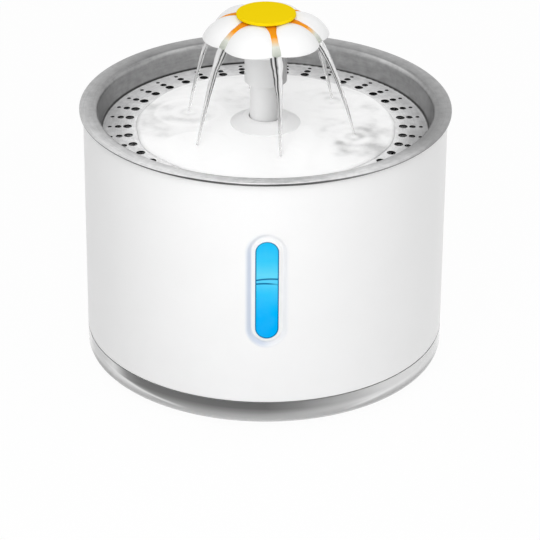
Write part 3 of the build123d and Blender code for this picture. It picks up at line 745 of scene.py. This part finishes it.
def run_water():
    """Water on the flower with a painted reflection of the yellow cap: orange under the cap, clear
    towards the lip.
    """
    graph = Graph("run_water")
    way = graph.scaled(graph.radius(), RUN_COLOUR_R, RUN_END)
    way = graph.plus(way, graph.waver(0.08, 500.0))
    # painted reflection of the cap: orange near it, fading towards the lip
    colour = graph.ramp(
        way,
        (0.0, srgb(232, 138, 10)),
        (0.56, srgb(250, 158, 22)),
        (0.71, srgb(248, 206, 150)),
        (0.84, srgb(240, 242, 232)),
        (1.0, srgb(222, 227, 216)),
    )
    clear = graph.times(graph.between(way, 0.6, 1.1), 0.35)
    graph.set(Base_Color=colour, Transmission_Weight=clear, IOR=1.33, Specular_IOR_Level=0.1)
    graph.polish(300.0, 0.08, 0.14)
    graph.bump(graph.noise(260.0), 0.03 * MM)
    return graph.material


def fall_water():
    """Falling water with painted highlight and refraction: bright on its outer side, dark lines along
    its inner side, clearer lower down.
    """
    graph = Graph("fall_water")
    fall = graph.vertex("fall")
    waver = graph.waver(0.5, 170.0, 2.0)
    # painted highlight on the outer side and painted dark refraction lines on the inner side
    painted_lines = graph.ramp(
        graph.scaled(graph.plus(graph.vertex("inner"), waver), -1.0, 1.0),
        (0.00, grey(120)),
        (0.07, grey(250)),
        (0.36, grey(255)),
        (0.46, grey(205)),
        (0.53, grey(60)),
        (0.61, grey(45)),
        (0.67, grey(235)),
        (0.78, grey(245)),
        (0.84, grey(70)),
        (0.92, grey(110)),
        (1.00, grey(215)),
    )
    fade = graph.times(graph.between(fall, 0.35, 0.95), 0.85)
    graph.set(Base_Color=graph.mix(fade, painted_lines, grey(248)))
    graph.set(Transmission_Weight=graph.scaled(fall, 0.2, 0.9, 0.35, 0.8), IOR=1.2)
    graph.set(Roughness=graph.scaled(waver, -0.1, 0.1, 0.02, 0.08))
    graph.bump(graph.noise(300.0), 0.02 * MM)
    return graph.material


# ---- Finishes of the CAD nodes ----


FINISH = {
    "clear_plastic": clear_plastic,
    "white_shell": white_shell,
    "window_blue": window_blue,
    "steel": steel,
    "petal_white": petal_white,
    "yellow": yellow,
    "rubber": rubber,
    "pump_plastic": pump_plastic,
    "resin": resin,
    "lamination": lamination,
    "copper": copper,
    "ferrite": ferrite,
    "ceramic": ceramic,
    "board": board,
    "led": led,
    "fleece": fleece,
    "white_plastic": white_plastic,
}


def finish_nodes():
    """Give every CAD node the material of its slot. Returns the materials by slot."""
    made = {slot: build() for slot, build in FINISH.items()}
    for part in frame["record"]["subparts"]:
        mesh = nodes[part["node"]].data
        mesh.materials.clear()
        mesh.materials.append(made[part["material_slot"]])
    return made


# ---- Mesh pieces ----


def piece(name, points, faces, material, **values):
    """A smooth mesh object with its points in the frame and named values on them."""
    mesh = bpy.data.meshes.new(name)
    mesh.from_pydata([tuple(point) for point in points], [], faces)
    mesh.polygons.foreach_set("use_smooth", [True] * len(mesh.polygons))
    for key, numbers in values.items():
        mesh.attributes.new(key, "FLOAT", "POINT").data.foreach_set("value", numbers)
    mesh.materials.append(material)
    made = bpy.data.objects.new(name, mesh)
    bpy.context.scene.collection.objects.link(made)
    return made


def loft(sections):
    """Points and faces of a closed body through sections with equal numbers of points."""
    count = len(sections[0])
    points = [point for section in sections for point in section]
    faces = []
    for row in range(len(sections) - 1):
        for i in range(count):
            j = (i + 1) % count
            a, b = row * count + i, row * count + j
            faces.append((a, a + count, b + count, b))
    last = (len(sections) - 1) * count
    faces.append(tuple(range(count)))
    faces.append(tuple(last + i for i in reversed(range(count))))
    return points, faces


def step(value, low, high):
    """0 below low, 1 above high, smooth in between."""
    share = min(max((value - low) / (high - low), 0.0), 1.0)
    return share * share * (3 - 2 * share)


def bell(value, middle, width):
    """1 at the middle, falling to both sides."""
    return exp(-(((value - middle) / width) ** 2))


def dish_floor(radius):
    """Height of the dish floor at a distance from the axis."""
    share = (wall_foot_r - radius) / (wall_foot_r - HOLE_R)
    return dish_z + DISH_RISE * share


def flower_height(reach, side):
    """Height of the dome at a distance along a valley and a distance beside it."""
    along = reach - LOBE_OFFSET * cos(HALF_PETAL)
    across = LOBE_OFFSET * sin(HALF_PETAL) - abs(side)
    return lobe_z + sqrt(max(LOBE_R ** 2 - along ** 2 - across ** 2, 0.0))


def stream_direction(index):
    """Directions outwards along a stream and across it."""
    turn = STREAM_TURN + tau / STREAMS * index
    return Vector((cos(turn), sin(turn), 0)), Vector((-sin(turn), cos(turn), 0))


def stream_run(index, material):
    """Ribbon of water that fills a valley between two petals."""
    out, side = stream_direction(index)
    steps, across = 40, 10
    sections = []
    for row in range(steps + 1):
        share = row / steps
        reach = RUN_START + (RUN_END - RUN_START) * share
        waist = step(share, 0.15, 0.55) - 0.55 * step(share, 0.75, 1.0)
        half = (RUN_W + (RUN_WAIST - RUN_W) * waist) / 2
        edge_z = flower_height(reach, half)
        top, under = [], []
        for i in range(across + 1):
            t = (2 * i / across - 1) * half
            swell = RUN_CROWN * (1 - (t / half) ** 2)
            place = out * reach + side * t
            top.append(place + Vector((0, 0, edge_z + swell)))
            under.append(place + Vector((0, 0, flower_height(reach, t) - RUN_SUNK)))
        sections.append(top + under[::-1])
    made = piece(f"stream_run_{index + 1}", *loft(sections), material)
    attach(made, "flower")


def stream_fall(index, material):
    """Falling water: two strands joined by a thinner web, drawn narrower as it falls."""
    out, side = stream_direction(index)
    steps, around = 60, 28
    carry = FALL_SHARES[index]
    top_z = flower_height(FALL_TOP_R, 0) + FALL_LIFT
    sections, fall, inner = [], [], []
    for row in range(steps + 1):
        share = row / steps
        run = FALL_RUN * share ** 0.8
        place = out * (FALL_START + run * carry)
        z = top_z - FALL_SLOPE * run - FALL_CURVE * run * run
        along = (out * carry - Vector((0, 0, FALL_SLOPE + 2 * FALL_CURVE * run))).normalized()
        normal = along.cross(side)
        wobble = 1 + 0.10 * sin(9 * share + 1.7 * index) + 0.05 * sin(23 * share + index)
        half_w = (FALL_W_END + (FALL_W_TOP - FALL_W_END) * (1 - share) ** 1.6) / 2 * wobble
        half_t = (FALL_T_TOP + (FALL_T_END - FALL_T_TOP) * share) / 2
        drift = FALL_DRIFT * sin(5 * share + 2.3 * index) * share
        section = []
        for i in range(around):
            turn = tau * i / around
            web = 0.45 + 0.75 * abs(cos(turn)) ** 1.2
            offset = side * (cos(turn) * half_w + drift) + normal * (sin(turn) * half_t * web)
            section.append(place + Vector((0, 0, z)) + offset)
            fall.append(share)
        shifts = [point.x - place.x for point in section]
        widest = max(abs(shift) for shift in shifts)
        inner.extend(copysign(1, -out.x) * shift / widest for shift in shifts)
        sections.append(section)
    made = piece(f"stream_fall_{index + 1}", *loft(sections), material, fall=fall, inner=inner)
    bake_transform(made)


def pool_swell(x, y, landings):
    """Height of the ripples, about -1 to 1, with an outer ring round the landings on the left."""
    swell = 0.5 * noise.noise((x * 45, y * 45, 3.1)) + 0.3 * noise.noise((x * 120, y * 120, 7.7))
    for spot in landings:
        far = hypot(x - spot.x, y - spot.y)
        swell += 0.45 * cos(far / RIPPLE * pi) * exp(-far / RIPPLE_REACH)
        swell += 0.55 * bell(far, OUTER_RING_R, OUTER_RING_W) * step(-spot.x, 0.0, 30 * MM)
    return swell


def pool_foam_and_shade(x, y, swell):
    """How white the pool is: froth whiter in front and greyer in the hollows, and painted shade that
    greys both sides.
    """
    front = step(-y, 8 * MM, 40 * MM) * step(-x, -42 * MM, -18 * MM)
    right = step(x, 20 * MM, 60 * MM)
    left = step(-x, 22 * MM, 58 * MM) * (1 - front)
    warp = 1 + 0.8 * noise.noise((x * 75, y * 75, 4.4))
    churned = 0.0
    for depth, width, hollow_x, hollow_y in HOLLOWS:
        far = hypot(x - hollow_x * MM, y - hollow_y * MM) / (width * MM)
        churned += depth * bell(far * warp, 0.0, 1.0)
    churned *= 1 + 0.7 * noise.noise((x * 190, y * 130, 8.8))
    foam = FOAM + FOAM_ON_CREST * swell + FOAM_IN_FRONT * front
    # painted shade on the right and the left
    return foam + PAINTED_SHADE_RIGHT * right + PAINTED_SHADE_LEFT * left - churned


def pool(material):
    """Sheet of water on the dish floor, with rings round the six places where water lands."""
    rings, around = 110, 300
    inner = collar_r - POOL_OVERLAP
    landings = []
    for index, carry in enumerate(FALL_SHARES):
        landings.append(stream_direction(index)[0] * (FALL_START + FALL_RUN * carry))
    points, foam = [], []
    for ring in range(rings + 1):
        share = ring / rings
        for i in range(around):
            turn = tau * i / around
            edge = POOL_R + POOL_WAVER * noise.noise((3 * cos(turn), 3 * sin(turn), 1.3))
            radius = inner + (edge - inner) * share
            x, y = radius * cos(turn), radius * sin(turn)
            swell = pool_swell(x, y, landings)
            inset = edge - radius
            bead = BEAD_H * bell(inset, BEAD_INSET, BEAD_W)
            depth = POOL_DEPTH * sqrt(1 - (1 - min(inset / POOL_EDGE, 1.0)) ** 2)
            height = depth * (1 + RIPPLE_H * swell) + bead + POOL_LIFT
            points.append(Vector((x, y, dish_floor(radius) + height)))
            foam.append(pool_foam_and_shade(x, y, swell))
    count = len(points)
    for i in range(around):
        point = points[i]
        points.append(Vector((point.x, point.y, dish_floor(inner) + POOL_UNDER)))
        foam.append(FOAM_INSIDE)
    faces = []
    for ring in range(rings):
        for i in range(around):
            j = (i + 1) % around
            a, b = ring * around + i, ring * around + j
            faces.append((a, a + around, b + around, b))
    outer = rings * around
    for i in range(around):
        j = (i + 1) % around
        faces.append((count + i, i, j, count + j))
        faces.append((outer + i, count + i, count + j, outer + j))
    made = piece("pool", points, faces, material, foam=foam)
    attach(made, "tray")


def filter_fleece(index, material):
    """One sector of the filter: a fleece bag that swells between its welded edges."""
    name = f"filter_pack_{index + 1}"
    low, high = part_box(name)
    rows, columns = 30, 44
    middle_z, half_h = (low.z + high.z) / 2, (high.z - low.z) / 2
    turn = tau / PACKS * index
    points = []
    for sign in (1, -1):
        for row in range(rows + 1):
            radius = PACK_INNER_R + (pack_outer_r - PACK_INNER_R) * row / rows
            spread = pi / PACKS - asin(PACK_GAP / radius)
            for column in range(columns + 1):
                angle = (2 * column / columns - 1) * spread
                beside = (spread - abs(angle)) * radius
                rim = min(radius - PACK_INNER_R, pack_outer_r - radius, beside)
                puff = sqrt(step(rim, PACK_EDGE_START, PACK_EDGE))
                x, y = radius * cos(turn + angle), radius * sin(turn + angle)
                glint_line = PACK_CREASE * noise.noise((x * 90, y * 90, index + 5.0 * sign))
                full = PACK_WELD / half_h * (1 - puff) + puff * (PACK_FULL + glint_line * puff)
                points.append(Vector((x, y, middle_z + sign * half_h * min(full, 1.0))))
    wide = columns + 1
    half = len(points) // 2
    faces = []
    for row in range(rows):
        for column in range(columns):
            a = row * wide + column
            quad = (a, a + wide, a + wide + 1, a + 1)
            faces.append(quad)
            faces.append(tuple(half + i for i in reversed(quad)))
    border = [row * wide for row in range(rows, 0, -1)] + list(range(columns))
    border += [row * wide + columns for row in range(rows)]
    border += [rows * wide + column for column in range(columns, 0, -1)]
    for a, b in zip(border, border[1:] + border[:1]):
        faces.append((a, b, half + b, half + a))
    made = piece(f"fleece_{index + 1}", points, faces, material)
    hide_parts(name)
    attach(made, "filter")


# ---- Stage, camera and light ----


def lamp(name, turn, rise, far, size, power):
    """Soft lamp that aims at the middle. Turn runs from the front to the right, in degrees."""
    turn, rise = radians(turn), radians(rise)
    aim = Vector(LAMP_AIM)
    place = aim + far * Vector((sin(turn) * cos(rise), -cos(turn) * cos(rise), sin(rise)))
    data = bpy.data.lights.new(name, "AREA")
    data.shape = "RECTANGLE"
    data.size, data.size_y = size
    data.energy = power
    made = bpy.data.objects.new(name, data)
    made.location = place
    made.rotation_euler = (aim - place).to_track_quat("-Z", "Y").to_euler()
    bpy.context.scene.collection.objects.link(made)


def camera():
    """The view of the photo."""
    data = bpy.data.cameras.new("camera")
    data.sensor_width = SENSOR
    data.lens = FOCAL_PX / FRAME_PX * SENSOR
    data.shift_x = (FRAME_PX / 2 - CENTRE_PX) / FRAME_PX
    made = bpy.data.objects.new("camera", data)
    place = Vector((-CAMERA_FAR * sin(CAMERA_TURN), -CAMERA_FAR * cos(CAMERA_TURN), CAMERA_HIGH))
    look = (Vector(CAMERA_AIM) - place).to_track_quat("-Z", "Y").to_matrix().to_4x4()
    made.matrix_world = Matrix.Translation(place) @ look @ Matrix.Rotation(ROLL, 4, "Z")
    bpy.context.scene.collection.objects.link(made)
    bpy.context.scene.camera = made


def world():
    """Sky that is brighter above and on the right, and looks white."""
    made = bpy.data.worlds.new("world")
    made.use_nodes = True
    made.node_tree.nodes.clear()
    sky = Nodes(made.node_tree)
    way = sky.node("SeparateXYZ", sky.node("TexCoord").outputs["Generated"]).outputs
    strength = 0.0
    for axis, low, high, dark, bright in AMBIENT:
        strength = sky.plus(strength, sky.scaled(way[axis], low, high, dark, bright))
    ambient = sky.node("Background", Color=level(1.0), Strength=strength)
    white = sky.node("Background", Color=level(1.0), Strength=1.0)
    mix = sky.node("MixShader", sky.seen_directly(), ambient.outputs[0], white.outputs[0])
    sky.node("OutputWorld", mix.outputs[0])
    bpy.context.scene.world = made


def floor():
    """Pale floor that shows nearly white and keeps a soft shadow."""
    half = FLOOR_HALF
    graph = Graph("floor")
    graph.set(Base_Color=grey(238), Roughness=0.9)
    glow = graph.node("Emission", Color=level(1.0), Strength=1.0)
    share = graph.times(graph.seen_directly(), FLOOR_GLOW)
    mix = graph.node("MixShader", share, graph.shader.outputs[0], glow.outputs[0])
    graph.feed(graph.tree.nodes["Material Output"].inputs["Surface"], mix.outputs[0])
    corners = [(-half, -half, 0), (half, -half, 0), (half, half, 0), (-half, half, 0)]
    piece("floor", corners, [(0, 1, 2, 3)], graph.material)


def lights():
    """Two strips a little left of the front and a softer lamp on the right."""
    lamp("strip_low", -12, 20, 0.36, (0.08, 0.25), 0.20)
    lamp("strip_high", -12, 50, 0.45, (0.10, 0.25), 0.26)
    lamp("side", 35, 25, 1.2, (0.5, 0.5), 1.0)


finishes = finish_nodes()
run_material = run_water()
fall_material = fall_water()
for index in range(STREAMS):
    stream_run(index, run_material)
    stream_fall(index, fall_material)
pool(pool_water())
for index in range(PACKS):
    filter_fleece(index, finishes["fleece"])

bpy.context.scene.view_settings.view_transform = "Standard"
camera()
world()
floor()
lights()
